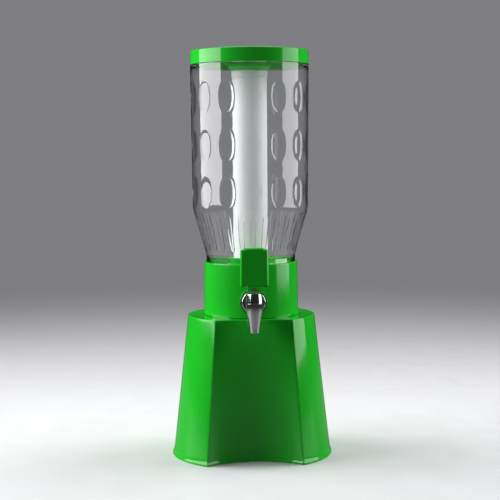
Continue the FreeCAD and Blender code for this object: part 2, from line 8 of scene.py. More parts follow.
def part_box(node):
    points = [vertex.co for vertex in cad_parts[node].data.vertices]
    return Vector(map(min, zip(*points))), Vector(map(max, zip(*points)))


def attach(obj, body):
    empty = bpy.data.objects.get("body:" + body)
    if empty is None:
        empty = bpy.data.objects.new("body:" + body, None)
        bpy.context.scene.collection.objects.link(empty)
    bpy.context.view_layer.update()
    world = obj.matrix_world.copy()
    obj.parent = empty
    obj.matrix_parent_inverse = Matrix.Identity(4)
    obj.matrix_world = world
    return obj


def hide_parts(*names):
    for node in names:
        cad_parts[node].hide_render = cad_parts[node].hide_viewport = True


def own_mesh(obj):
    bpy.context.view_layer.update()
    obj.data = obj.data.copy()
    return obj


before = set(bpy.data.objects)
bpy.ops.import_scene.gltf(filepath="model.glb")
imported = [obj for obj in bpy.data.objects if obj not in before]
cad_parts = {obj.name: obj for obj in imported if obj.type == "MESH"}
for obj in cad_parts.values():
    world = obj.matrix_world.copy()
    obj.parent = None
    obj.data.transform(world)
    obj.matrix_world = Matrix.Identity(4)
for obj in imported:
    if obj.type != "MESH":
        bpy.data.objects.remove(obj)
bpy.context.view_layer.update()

mm = 0.001
up = Vector((0, 0, 1))
fullTurn = 2 * math.pi
# How close two points are when they are one, within a part and along a seam
weld = 0.002 * mm
seamWeld = 0.01 * mm
# How far a part reaches into another before a union, or a cutter past what it cuts
overlap = 1 * mm
# The shank's height, and how far the valve stands in front of the tower's axis
tapHeight = 195.4 * mm
tapReach = 82.0 * mm


# Small helpers


def roundTheAxis(bm, geometry, angle, steps, merge=False, copies=False):
    bmesh.ops.spin(bm, geom=geometry, cent=(0, 0, 0), axis=up, angle=angle, steps=steps,
                   use_merge=merge, use_duplicate=copies)


def roundCorners(bm, verts, corners, segments=4):
    for vert, corner in zip(verts, corners):
        if len(corner) > 2:
            bmesh.ops.bevel(bm, geom=[vert], offset=corner[2], offset_type="OFFSET", affect="VERTICES",
                            segments=segments, profile=0.5, material=-1)


def roundEdges(bm, edges, offset, segments):
    bmesh.ops.bevel(bm, geom=edges, offset=offset, offset_type="OFFSET", affect="EDGES",
                    segments=segments, profile=0.5, material=-1)


def shift(bm, vec):
    bmesh.ops.translate(bm, vec=vec, verts=bm.verts)
    return bm


def swing(bm, verts, degrees, axis="Z"):
    matrix = Matrix.Rotation(math.radians(degrees), 3, axis)
    bmesh.ops.rotate(bm, cent=(0, 0, 0), matrix=matrix, verts=verts)


def closeUp(bm):
    bmesh.ops.remove_doubles(bm, verts=bm.verts, dist=weld)
    bmesh.ops.recalc_face_normals(bm, faces=bm.faces)


def turned(corners, steps=128, segments=4):
    # Spins an outline of (radius, height, round) corners about the upright axis.
    bm = bmesh.new()
    verts = [bm.verts.new((corner[0], 0, corner[1])) for corner in corners]
    for first, second in zip(verts, verts[1:]):
        bm.edges.new((first, second))
    if corners[0][0] > 0 or corners[-1][0] > 0:
        bm.edges.new((verts[-1], verts[0]))
    roundCorners(bm, verts, corners, segments)
    roundTheAxis(bm, bm.verts[:] + bm.edges[:], fullTurn, steps, merge=True)
    closeUp(bm)
    return bm


def sectors(inner, outer, low, high, middles, span, steps=10):
    # Blocks of a ring, each about an angle from +X.
    bm = bmesh.new()
    for middle in middles:
        turn = Matrix.Rotation(math.radians(middle - span / 2), 4, "Z")
        corners = ((inner, low), (outer, low), (outer, high), (inner, high))
        verts = [bm.verts.new(turn @ Vector((radius, 0, height))) for radius, height in corners]
        face = bm.faces.new(verts)
        roundTheAxis(bm, [face] + list(face.edges) + verts, math.radians(span), steps)
    closeUp(bm)
    return bm


def joined(parts):
    # Puts several bmeshes into one.
    whole = bmesh.new()
    for part in parts:
        mesh = bpy.data.meshes.new("part")
        part.to_mesh(mesh)
        part.free()
        whole.from_mesh(mesh)
        bpy.data.meshes.remove(mesh)
    return whole


def looseObject(name, bm):
    mesh = bpy.data.meshes.new(name)
    bm.to_mesh(mesh)
    bm.free()
    thing = bpy.data.objects.new(name, mesh)
    bpy.context.scene.collection.objects.link(thing)
    return thing


def carved(bm, tools, operation):
    # Unites a bmesh with others, or cuts them out of it.
    body = looseObject("carving", bm)
    for tool in tools:
        cutter = looseObject("cutter", tool)
        boolean = body.modifiers.new("carve", "BOOLEAN")
        boolean.operation = operation
        boolean.solver = "EXACT"
        boolean.object = cutter
        evaluated = body.evaluated_get(bpy.context.evaluated_depsgraph_get())
        result = bpy.data.meshes.new_from_object(evaluated)
        body.modifiers.clear()
        body.data = result
        bpy.data.objects.remove(cutter)
    done = bmesh.new()
    done.from_mesh(body.data)
    bpy.data.objects.remove(body)
    closeUp(done)
    return done


def finished(name, bm, body, material, nodes, sharp=34, steady=True):
    # Makes a bmesh a shown piece that stands for some of the frame's nodes.
    piece = looseObject(name, bm)
    for polygon in piece.data.polygons:
        polygon.use_smooth = True
    piece.data.set_sharp_from_angle(angle=math.radians(sharp))
    piece.data.materials.append(material)
    if steady:
        weighted = piece.modifiers.new("steadyNormals", "WEIGHTED_NORMAL")
        weighted.keep_sharp = True
        weighted.weight = 80
    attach(piece, body)
    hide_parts(*nodes)
    return piece


# Materials

def freshMaterial(name):
    material = bpy.data.materials.new(name)
    material.use_nodes = True
    tree = material.node_tree
    tree.nodes.clear()
    output = tree.nodes.new("ShaderNodeOutputMaterial")
    shader = tree.nodes.new("ShaderNodeBsdfPrincipled")
    tree.links.new(shader.outputs["BSDF"], output.inputs["Surface"])
    return material, tree, shader


def place(tree, stretch=(1, 1, 1)):
    # Object coordinates, stretched along an axis for scratches and turning marks.
    coordinates = tree.nodes.new("ShaderNodeTexCoord")
    mapping = tree.nodes.new("ShaderNodeMapping")
    mapping.inputs["Scale"].default_value = stretch
    tree.links.new(coordinates.outputs["Object"], mapping.inputs["Vector"])
    return mapping.outputs["Vector"]


def noise(tree, where, scale, detail=3, roughness=0.5):
    texture = tree.nodes.new("ShaderNodeTexNoise")
    texture.inputs["Scale"].default_value = scale
    texture.inputs["Detail"].default_value = detail
    texture.inputs["Roughness"].default_value = roughness
    tree.links.new(where, texture.inputs["Vector"])
    return texture.outputs["Fac"]


def spread(tree, value, low, high, fromLow=0.3, fromHigh=0.7):
    # Maps a noise value to a range.
    node = tree.nodes.new("ShaderNodeMapRange")
    node.inputs["From Min"].default_value = fromLow
    node.inputs["From Max"].default_value = fromHigh
    node.inputs["To Min"].default_value = low
    node.inputs["To Max"].default_value = high
    tree.links.new(value, node.inputs["Value"])
    return node.outputs["Result"]


def blended(tree, value, first, second):
    node = tree.nodes.new("ShaderNodeMix")
    node.data_type = "RGBA"
    node.inputs["A"].default_value = (*first, 1)
    node.inputs["B"].default_value = (*second, 1)
    tree.links.new(value, node.inputs["Factor"])
    return node.outputs["Result"]


def added(tree, first, second):
    node = tree.nodes.new("ShaderNodeMath")
    node.operation = "ADD"
    tree.links.new(first, node.inputs[0])
    tree.links.new(second, node.inputs[1])
    return node.outputs["Value"]


def bumped(tree, shader, height, strength, distance):
    node = tree.nodes.new("ShaderNodeBump")
    node.inputs["Strength"].default_value = strength
    node.inputs["Distance"].default_value = distance
    tree.links.new(height, node.inputs["Height"])
    tree.links.new(node.outputs["Normal"], shader.inputs["Normal"])


def clouded(tree, shader, where, values, first, second, detail=3):
    # Soft clouds between two of the finish's colours.
    clouds = spread(tree, noise(tree, where, values["cloudScale"], detail), 0, 1)
    colour = blended(tree, clouds, values[first], values[second])
    tree.links.new(colour, shader.inputs["Base Color"])


def hazed(tree, shader, where, values, scale="hazeScale", detail=4):
    # Uneven gloss.
    haze = spread(tree, noise(tree, where, values[scale], detail), values["glossLow"], values["glossHigh"])
    tree.links.new(haze, shader.inputs["Roughness"])
    return haze


def textured(tree, shader, where, values, kind="ripple", detail=2):
    # A fine unevenness of the skin, with the finish's scale, strength and depth for its kind.
    height = noise(tree, where, values[kind + "Scale"], detail)
    bumped(tree, shader, height, values[kind], values[kind + "Depth"])


def mixedShaders(tree, output, share, first, second):
    mix = tree.nodes.new("ShaderNodeMixShader")
    tree.links.new(share, mix.inputs["Fac"])
    tree.links.new(first.outputs[0], mix.inputs[1])
    tree.links.new(second.outputs[0], mix.inputs[2])
    tree.links.new(mix.outputs["Shader"], output.inputs["Surface"])


def seeThrough(tree, shader, share, tint=(1, 1, 1)):
    # Lets a share of the rays pass straight through, tinted.
    passing = tree.nodes.new("ShaderNodeBsdfTransparent")
    passing.inputs["Color"].default_value = (*tint, 1)
    mixedShaders(tree, tree.get_output_node("ALL"), share, shader, passing)


def glossGreen(name, values):
    # Moulded glossy plastic: flow clouds in the colour, handling haze in the gloss, faint ripple.
    material, tree, shader = freshMaterial(name)
    where = place(tree)
    clouded(tree, shader, where, values, "green", "deepGreen", 2)
    haze = hazed(tree, shader, where, values)
    hairlines = noise(tree, place(tree, values["hairlineStretch"]), values["hairlineScale"], 2, 0.7)
    scratches = spread(tree, hairlines, 0, values["hairlineDepth"], *values["hairlineRange"])
    tree.links.new(added(tree, haze, scratches), shader.inputs["Roughness"])
    textured(tree, shader, where, values)
    shader.inputs["IOR"].default_value = values["ior"]
    return material


def clearPlastic(name, values):
    # Clear moulded plastic. Its shadow lets light through, as the thin wall does.
    material, tree, shader = freshMaterial(name)
    where = place(tree)
    shader.inputs["Base Color"].default_value = (*values["tint"], 1)
    shader.inputs["Transmission Weight"].default_value = 1
    shader.inputs["IOR"].default_value = values["ior"]
    shader.inputs["Coat Weight"].default_value = 1
    shader.inputs["Coat IOR"].default_value = values["coatIor"]
    shader.inputs["Coat Roughness"].default_value = values["coatRoughness"]
    hazed(tree, shader, where, values)
    textured(tree, shader, where, values, detail=1)
    path = tree.nodes.new("ShaderNodeLightPath")
    seeThrough(tree, shader, path.outputs["Is Shadow Ray"], values["shadowTint"])
    return material


def frostedPlastic(name, values):
    # Milky translucent plastic with a fine satin skin.
    material, tree, shader = freshMaterial(name)
    where = place(tree)
    clouded(tree, shader, where, values, "milk", "thinMilk")
    shader.inputs["Subsurface Weight"].default_value = values["glow"]
    shader.inputs["Subsurface Radius"].default_value = (1, 1, 1)
    shader.inputs["Subsurface Scale"].default_value = values["glowReach"]
    shader.inputs["IOR"].default_value = values["ior"]
    hazed(tree, shader, where, values)
    textured(tree, shader, where, values, "satin")
    return material


def chromePlate(name, values):
    # Bright plating over moulded plastic, with faint ripple and wiping marks.
    material, tree, shader = freshMaterial(name)
    where = place(tree)
    shader.inputs["Base Color"].default_value = (*values["silver"], 1)
    shader.inputs["Metallic"].default_value = 1
    hazed(tree, shader, where, values)
    textured(tree, shader, where, values)
    return material


def softRubber(name, values):
    # Rubber or silicone: matt skin with a fine grain.
    material, tree, shader = freshMaterial(name)
    where = place(tree)
    clouded(tree, shader, where, values, "colour", "worn")
    hazed(tree, shader, where, values, "grainScale", 3)
    textured(tree, shader, where, values, "grain")
    return material


def turnedSteel(name, values):
    # Stainless steel with fine turning marks round the upright axis.
    material, tree, shader = freshMaterial(name)
    shader.inputs["Base Color"].default_value = (*values["steel"], 1)
    shader.inputs["Metallic"].default_value = 1
    marks = noise(tree, place(tree, (1, 1, values["markStretch"])), values["markScale"], 2)
    tree.links.new(spread(tree, marks, values["glossLow"], values["glossHigh"]), shader.inputs["Roughness"])
    bumped(tree, shader, marks, values["mark"], values["markDepth"])
    return material


greenFinish = {
    "green": (0.018, 0.6, 0.026),
    "deepGreen": (0.015, 0.55, 0.023),
    "cloudScale": 18,
    "hazeScale": 60,
    "glossLow": 0.07,
    "glossHigh": 0.13,
    "hairlineStretch": (1, 1, 0.12),
    "hairlineScale": 420,
    "hairlineDepth": 0.05,
    "hairlineRange": (0.62, 0.72),
    "rippleScale": 70,
    "ripple": 0.03,
    "rippleDepth": 0.0006,
    "ior": 1.52,
}
leverFinish = dict(greenFinish, glossLow=0.1, glossHigh=0.17)
clearFinish = {
    "tint": (0.986, 0.988, 0.99),
    "shadowTint": (0.92, 0.925, 0.93),
    "ior": 1.49,
    "coatIor": 1.58,
    "coatRoughness": 0.02,
    "hazeScale": 45,
    "glossLow": 0.012,
    "glossHigh": 0.04,
    "rippleScale": 22,
    "ripple": 0.05,
    "rippleDepth": 0.0012,
}
frostFinish = {
    "milk": (0.93, 0.93, 0.94),
    "thinMilk": (0.89, 0.89, 0.9),
    "cloudScale": 14,
    "glow": 0.25,
    "glowReach": 6 * mm,
    "ior": 1.48,
    "hazeScale": 90,
    "glossLow": 0.36,
    "glossHigh": 0.46,
    "satinScale": 1400,
    "satin": 0.08,
    "satinDepth": 0.0002,
}
chromeFinish = {
    "silver": (0.8, 0.805, 0.82),
    "hazeScale": 120,
    "glossLow": 0.03,
    "glossHigh": 0.08,
    "rippleScale": 160,
    "ripple": 0.03,
    "rippleDepth": 0.0003,
}
blackRubberFinish = {
    "colour": (0.016, 0.016, 0.017),
    "worn": (0.03, 0.03, 0.03),
    "cloudScale": 80,
    "grainScale": 1800,
    "glossLow": 0.5,
    "glossHigh": 0.7,
    "grain": 0.15,
    "grainDepth": 0.0001,
}
siliconeFinish = dict(blackRubberFinish, colour=(0.78, 0.81, 0.8), worn=(0.7, 0.73, 0.72),
                      glossLow=0.35, glossHigh=0.5)
nylonFinish = dict(blackRubberFinish, colour=(0.022, 0.022, 0.024), worn=(0.035, 0.035, 0.037),
                   glossLow=0.32, glossHigh=0.45)
steelFinish = {
    "steel": (0.66, 0.66, 0.67),
    "markStretch": 14,
    "markScale": 300,
    "glossLow": 0.2,
    "glossHigh": 0.34,
    "mark": 0.1,
    "markDepth": 0.0001,
}

standGreen = glossGreen("standGreen", greenFinish)
housingGreen = glossGreen("housingGreen", greenFinish)
lidGreen = glossGreen("lidGreen", greenFinish)
leverGreen = glossGreen("leverGreen", leverFinish)
vesselClear = clearPlastic("vesselClear", clearFinish)
tubeFrost = frostedPlastic("tubeFrost", frostFinish)
tapChrome = chromePlate("tapChrome", chromeFinish)
blackRubber = softRubber("blackRubber", blackRubberFinish)
silicone = softRubber("silicone", siliconeFinish)
blackNylon = softRubber("blackNylon", nylonFinish)
stainless = turnedSteel("stainless", steelFinish)
print("materials made")


# Camera and studio

shot = {
    "focal": 92.5,
    "sensor": 36,
    "distance": 1.597,
    "height": 0.3802,
    "sideStep": -0.0009,
    "pitchDown": 4.52,
    "turn": 2.8,
    "lean": 0.45,
    "near": 0.05,
    "far": 60,
}


def makeCamera(values):
    data = bpy.data.cameras.new("camera")
    data.lens = values["focal"]
    data.sensor_width = values["sensor"]
    data.clip_start = values["near"]
    data.clip_end = values["far"]
    camera = bpy.data.objects.new("camera", data)
    bpy.context.scene.collection.objects.link(camera)
    turn = math.radians(values["turn"])
    ahead = Vector((math.sin(turn), math.cos(turn), 0))
    right = Vector((math.cos(turn), -math.sin(turn), 0))
    spot = right * values["sideStep"] - ahead * values["distance"] + up * values["height"]
    tilt = Matrix.Rotation(math.radians(90 - values["pitchDown"]), 4, "X")
    aim = Matrix.Rotation(-turn, 4, "Z") @ tilt @ Matrix.Rotation(-math.radians(values["lean"]), 4, "Z")
    camera.matrix_world = Matrix.Translation(spot) @ aim
    bpy.context.scene.camera = camera


studio = {
    "floorRadius": 9.0,
    "floorColour": (0.72, 0.72, 0.735),
    "bounceColour": (0.05, 0.05, 0.052),
    "mirrorColour": (0.15, 0.15, 0.155),
    "hazeScale": 30,
    "glossLow": 0.42,
    "glossHigh": 0.55,
    "rippleScale": 400,
    "ripple": 0.04,
    "rippleDepth": 0.0005,
    "fadeStart": 0.35,
    "fadeEnd": 2.2,
    "backdrop": (0.21, 0.21, 0.225),
    "fill": (0.02, 0.02, 0.021),
    "boxSide": 1.25,
    "boxTall": 1.3,
    "leftBox": {"front": -0.78, "back": 0.53, "centre": 0.86, "power": 24},
    "rightBox": {"front": -0.66, "back": 0.3, "centre": 0.76, "power": 11},
    "glowSpot": (1.05, 0.4, 1.15),
    "glowTarget": (0, 0, 0.3),
    "glowSize": 0.8,
    "leftGlow": 12,
    "rightGlow": 13,
    "topSpot": (0, 0.75, 2.1),
    "topSize": 1.4,
    "topPower": 15,
}


def makeFloor(values):
    bm = bmesh.new()
    bmesh.ops.create_circle(bm, cap_ends=True, segments=96, radius=values["floorRadius"])
    floor = looseObject("floor", bm)
    material, tree, shader = freshMaterial("paleFloor")
    where = place(tree)
    hazed(tree, shader, where, values)
    path = tree.nodes.new("ShaderNodeLightPath")
    shade = blended(tree, path.outputs["Is Glossy Ray"], values["bounceColour"], values["mirrorColour"])
    seen = blended(tree, path.outputs["Is Camera Ray"], values["bounceColour"], values["floorColour"])
    tree.links.new(shade, seen.node.inputs["A"])
    tree.links.new(seen, shader.inputs["Base Color"])
    textured(tree, shader, where, values)
    distance = tree.nodes.new("ShaderNodeVectorMath")
    distance.operation = "LENGTH"
    tree.links.new(where, distance.inputs[0])
    fade = spread(tree, distance.outputs["Value"], 0, 1, values["fadeStart"], values["fadeEnd"])
    seeThrough(tree, shader, fade)
    floor.data.materials.append(material)


def makeWorld(values):
    world = bpy.data.worlds.new("studio")
    bpy.context.scene.world = world
    world.use_nodes = True
    tree = world.node_tree
    tree.nodes.clear()
    output = tree.nodes.new("ShaderNodeOutputWorld")
    seen = tree.nodes.new("ShaderNodeBackground")
    seen.inputs["Color"].default_value = (*values["backdrop"], 1)
    fill = tree.nodes.new("ShaderNodeBackground")
    fill.inputs["Color"].default_value = (*values["fill"], 1)
    path = tree.nodes.new("ShaderNodeLightPath")
    direct = tree.nodes.new("ShaderNodeMath")
    direct.operation = "MAXIMUM"
    tree.links.new(path.outputs["Is Camera Ray"], direct.inputs[0])
    tree.links.new(path.outputs["Is Transmission Ray"], direct.inputs[1])
    mixedShaders(tree, output, direct.outputs["Value"], fill, seen)


def softBox(name, spot, target, width, tall, power, mirrored=True):
    data = bpy.data.lights.new(name, "AREA")
    data.shape = "RECTANGLE"
    data.size = width
    data.size_y = tall
    data.energy = power
    light = bpy.data.objects.new(name, data)
    bpy.context.scene.collection.objects.link(light)
    aim = (Vector(target) - Vector(spot)).to_track_quat("-Z", "Y")
    light.matrix_world = Matrix.Translation(spot) @ aim.to_matrix().to_4x4()
    light.visible_glossy = mirrored
    light.visible_transmission = False


def makeStudio(values):
    makeWorld(values)
    makeFloor(values)
    across, along, height = values["glowSpot"]
    for name, side in (("left", -1), ("right", 1)):
        box = values[name + "Box"]
        middle, width = (box["front"] + box["back"]) / 2, box["back"] - box["front"]
        softBox(name + "Box", (side * values["boxSide"], middle, box["centre"]), (0, middle, box["centre"]),
                width, values["boxTall"], box["power"])
        softBox(name + "Glow", (side * across, along, height), values["glowTarget"], values["glowSize"],
                values["glowSize"], values[name + "Glow"], mirrored=False)
    softBox("topBox", values["topSpot"], (0, 0, 0), values["topSize"], values["topSize"],
            values["topPower"])


makeCamera(shot)
makeStudio(studio)
bpy.context.scene.view_settings.view_transform = "Standard"
print("camera and studio ready")


# Stand

stand = {
    "height": 174.5 * mm,
    "footRadius": 98.4 * mm,
    "topRadius": 78.9 * mm,
    "bayHalfAngle": math.radians(36.1),
    "bayTopDepth": 60.8 * mm,
    "bayFootDepth": 56.3 * mm,
    "ridge": 1.4 * mm,
    "rim": 1.2 * mm,
    "wall": 2.6 * mm,
    "deck": 3.0 * mm,
    "flare": ((0, 1.15), (0.25, 1.4), (2.0, 1.4), (2.4, 1.25), (4.8, 0.5), (9.0, 0)),
    "wallRows": (40, 80, 120, 150, 166, 171),
    "socketRadius": 50.5 * mm,
    "socketWall": 2.5 * mm,
    "socketDepth": 28.5 * mm,
    "socketFloor": 2.4 * mm,
    "socketEdge": 0.6 * mm,
    "drainRadius": 5.0 * mm,
    "ribAngles": (30, 75, 105, 150, 210, 330),
    "ribThickness": 2.0 * mm,
    "ribEdge": 0.3 * mm,
    "rimSteps": 4,
    "backSteps": 132,
    "ridgeSteps": 6,
    "baySteps": 40,
}


def standOutline(values, height, offset):
    # Points round the stand at a height: the round back, a ridge, the bay and the other ridge.
    share = height / values["height"]
    wall = values["footRadius"] + (values["topRadius"] - values["footRadius"]) * share
    halfChord = wall * math.sin(values["bayHalfAngle"])
    depth = values["bayFootDepth"] + (values["bayTopDepth"] - values["bayFootDepth"]) * share
    sag = wall * math.cos(values["bayHalfAngle"]) - depth
    bend = (halfChord ** 2 + sag ** 2) / (2 * sag)
    bayCentre = Vector((0, -(depth + bend), height))
    bend -= offset
    wall += offset
    ridge = values["ridge"]
    inner, outer = wall - ridge, bend + ridge
    ridgeY = (inner ** 2 + bayCentre.y ** 2 - outer ** 2) / (2 * bayCentre.y)
    ridgeSpot = Vector((math.sqrt(inner ** 2 - ridgeY ** 2), ridgeY, height))
    start = math.atan2(ridgeSpot.y, ridgeSpot.x)
    sweep = math.pi - 2 * start
    toBay = ridgeSpot - bayCentre
    bayStart = math.atan2(toBay.y, toBay.x)
    points = []
    for step in range(values["backSteps"]):
        angle = start + sweep * step / values["backSteps"]
        points.append(Vector((wall * math.cos(angle), wall * math.sin(angle), height)))
    leftSpot = Vector((-ridgeSpot.x, ridgeSpot.y, height))
    ridgeSweep = math.pi + bayStart - start
    for step in range(values["ridgeSteps"]):
        angle = math.pi - start + ridgeSweep * step / values["ridgeSteps"]
        points.append(leftSpot + ridge * Vector((math.cos(angle), math.sin(angle), 0)))
    for step in range(values["baySteps"]):
        angle = math.pi - bayStart + (2 * bayStart - math.pi) * step / values["baySteps"]
        points.append(bayCentre + bend * Vector((math.cos(angle), math.sin(angle), 0)))
    for step in range(values["ridgeSteps"]):
        angle = math.pi + bayStart + ridgeSweep * step / values["ridgeSteps"]
        points.append(ridgeSpot + ridge * Vector((math.cos(angle), math.sin(angle), 0)))
    return points


def circlePoints(radius, height, steps=128):
    angles = [fullTurn * step / steps for step in range(steps)]
    return [Vector((radius * math.cos(angle), radius * math.sin(angle), height)) for angle in angles]


def grownRing(bm, ring, points):
    # Extrudes a closed ring of verts to new points.
    edges = [bm.edges.get((ring[index - 1], vert)) for index, vert in enumerate(ring)]
    made = bmesh.ops.extrude_edge_only(bm, edges=edges)["geom"]
    fresh = {item for item in made if isinstance(item, bmesh.types.BMVert)}
    grown = [next(edge.other_vert(vert) for edge in vert.link_edges if edge.other_vert(vert) in fresh)
             for vert in ring]
    for vert, point in zip(grown, points):
        vert.co = point
    return grown


def grownWall(bm, rings):
    # Extrudes a wall through closed rings of points. Its rings of verts come back.
    grown = [bmesh.ops.create_circle(bm, segments=len(rings[0]), radius=1)["verts"]]
    for vert, point in zip(grown[0], rings[0]):
        vert.co = point
    for points in rings[1:]:
        grown.append(grownRing(bm, grown[-1], points))
    return grown


def flatBetween(bm, outer, inner):
    # Fills the level face between two closed rings of verts.
    edges = [bm.edges.get((ring[index - 1], vert))
             for ring in (outer, inner) for index, vert in enumerate(ring)]
    bmesh.ops.triangle_fill(bm, edges=edges, use_beauty=True, normal=up)


def makeStand(values):
    height, wall = values["height"], values["wall"]
    deckUnderside = height - values["deck"]
    socketBottom = height - values["socketDepth"]
    socketUnderside = socketBottom - values["socketFloor"]
    socketOuter = values["socketRadius"] + values["socketWall"]
    rim = values["rim"]
    rings = [standOutline(values, level, -wall) for level in (deckUnderside, height / 2, 0)]
    rings += [standOutline(values, low * mm, reach * mm) for low, reach in values["flare"]]
    rings += [standOutline(values, row * mm, 0) for row in values["wallRows"]]
    for step in range(values["rimSteps"] + 1):
        angle = math.radians(90) * step / values["rimSteps"]
        level = height - rim + rim * math.sin(angle)
        rings.append(standOutline(values, level, rim * (math.cos(angle) - 1)))
    soft = values["socketEdge"]
    socket = [circlePoints(radius, level) for radius, level in (
        (values["socketRadius"] + soft, height),
        (values["socketRadius"] + soft / 5, height - soft / 5),
        (values["socketRadius"], height - soft),
        (values["socketRadius"], socketBottom),
        (values["drainRadius"], socketBottom),
        (values["drainRadius"], socketUnderside),
        (socketOuter, socketUnderside),
        (socketOuter, deckUnderside))]
    bm = bmesh.new()
    outside, inside = grownWall(bm, rings), grownWall(bm, socket)
    flatBetween(bm, outside[-1], inside[0])
    flatBetween(bm, outside[0], inside[-1])
    closeUp(bm)
    ribs = []
    for angle in values["ribAngles"]:
        rib = bmesh.new()
        bmesh.ops.create_cube(rib, size=1)
        length = values["topRadius"] - socketOuter
        scale = (length, values["ribThickness"], values["socketDepth"] - values["deck"])
        bmesh.ops.scale(rib, vec=scale, verts=rib.verts)
        shift(rib, (socketOuter + length / 2 - wall, 0, (socketUnderside + deckUnderside) / 2))
        swing(rib, rib.verts, angle)
        roundEdges(rib, rib.edges, values["ribEdge"], segments=2)
        ribs.append(rib)
    return joined([bm] + ribs)


finished("baseStand", makeStand(stand), "stand", standGreen, ["base_stand"])
print("stand done")


# Housing

housing = {
    "foot": 175.8 * mm,
    "footRadius": 58.9 * mm,
    "rim": 240.4 * mm,
    "rimRadius": 57.9 * mm,
    "wall": 2.4 * mm,
    "floorTop": 178.5 * mm,
    "reveal": 56.8 * mm,
    "spigotRadius": 50.2 * mm,
    "spigotBottom": 150.0 * mm,
    "ledgeRadius": 50.8 * mm,
    "ledgeTop": 224.0 * mm,
    "postRadius": 24.4 * mm,
    "postWall": 2.4 * mm,
    "postFlare": 29.4 * mm,
    "postFlareStart": 236.0 * mm,
    "postTop": 245.2 * mm,
    "cupBore": 21.9 * mm,
    "cupFloor": 236.0 * mm,
    "latchRadius": 53.8 * mm,
    "latchBottom": 233.5 * mm,
    "latchHeight": 2.5 * mm,
    "latchSpan": 50,
    "latchAngles": (90, 210, 330),
    "padRadius": 16.8 * mm,
    "padFace": 59.6 * mm,
    "padInnerRadius": 15.0 * mm,
    "padInnerFace": 54.6 * mm,
    "shankHole": 8.2 * mm,
    "wallRows": (177.5, 181, 185, 190, 195.4, 200, 205, 210, 216, 226, 238),
    "ledgeHeight": 2.5 * mm,
    "cupLip": 4.5 * mm,
    "holeReach": 4 * mm,
    "latchRoot": 0.4 * mm,
    "floorRound": 2 * mm,
    "postRound": 1.2 * mm,
    "cupRound": 1 * mm,
    "padRound": 0.4 * mm,
    "round": 0.6 * mm,
}


def alongFront(corners, steps=64, segments=3):
    # Spins an outline of (radius, depth in front of the tower's axis, round) about the shank's axis.
    bm = turned(corners, steps, segments)
    swing(bm, bm.verts, 90, "X")
    return shift(bm, up * tapHeight)


def wallAt(values, height):
    share = (height - values["foot"]) / (values["rim"] - values["foot"])
    return values["footRadius"] + (values["rimRadius"] - values["footRadius"]) * share


def makeHousing(values):
    soft, wall = values["round"], values["wall"]
    innerRim = values["rimRadius"] - wall
    stillWall = wallAt(values, values["floorTop"]) - wall
    ledgeBottom = values["ledgeTop"] - values["ledgeHeight"]
    postInner = values["postRadius"] - values["postWall"]
    cupUnderside = values["cupFloor"] - values["postWall"]
    deckTop = stand["height"]
    spigotInner = values["spigotRadius"] - wall
    padFace, padInnerFace, holeReach = values["padFace"], values["padInnerFace"], values["holeReach"]
    padRound, floorRound = values["padRound"], values["floorRound"]
    corners = [(values["footRadius"], values["foot"], soft)]
    corners += [(wallAt(values, row * mm), row * mm) for row in values["wallRows"]]
    corners += [
        (values["rimRadius"], values["rim"], soft),
        (innerRim, values["rim"], soft),
        (innerRim, values["ledgeTop"]),
        (values["ledgeRadius"], values["ledgeTop"]),
        (values["ledgeRadius"], ledgeBottom),
        (wallAt(values, ledgeBottom) - wall, ledgeBottom),
        (stillWall, values["floorTop"], floorRound),
        (values["postRadius"], values["floorTop"], floorRound),
        (values["postRadius"], values["postFlareStart"], values["postRound"]),
        (values["postFlare"], values["postTop"], soft),
        (values["postFlare"] - values["postWall"], values["postTop"], soft),
        (values["cupBore"], values["cupFloor"] + values["cupLip"], values["cupRound"]),
        (values["cupBore"], values["cupFloor"]),
        (0, values["cupFloor"]),
    ]
    under = [
        (0, cupUnderside),
        (postInner, cupUnderside, floorRound),
        (postInner, deckTop),
        (spigotInner, deckTop),
        (spigotInner, values["spigotBottom"]),
        (values["spigotRadius"], values["spigotBottom"], soft),
        (values["spigotRadius"], deckTop),
        (values["reveal"], deckTop),
        (values["reveal"], values["foot"]),
    ]
    body = turned(under + corners, steps=160)
    pad = alongFront([(0, padInnerFace + overlap), (0, padFace),
                      (values["padRadius"], padFace, padRound),
                      (values["padRadius"], padInnerFace + overlap)])
    innerPad = alongFront([(0, padInnerFace), (0, padFace - overlap),
                           (values["padInnerRadius"], padFace - overlap),
                           (values["padInnerRadius"], padInnerFace, padRound)])
    hole = alongFront([(0, padInnerFace - holeReach), (0, padFace + holeReach),
                       (values["shankHole"], padFace + holeReach),
                       (values["shankHole"], padInnerFace - holeReach)])
    body = carved(body, [pad, innerPad], "UNION")
    body = carved(body, [hole], "DIFFERENCE")
    latchTop = values["latchBottom"] + values["latchHeight"]
    latches = sectors(values["latchRadius"], innerRim + values["latchRoot"], values["latchBottom"], latchTop,
                      values["latchAngles"], values["latchSpan"])
    return joined([body, latches])


finished("tapHousing", makeHousing(housing), "tower", housingGreen, ["tap_housing"])
print("housing done")


# Clear vessel

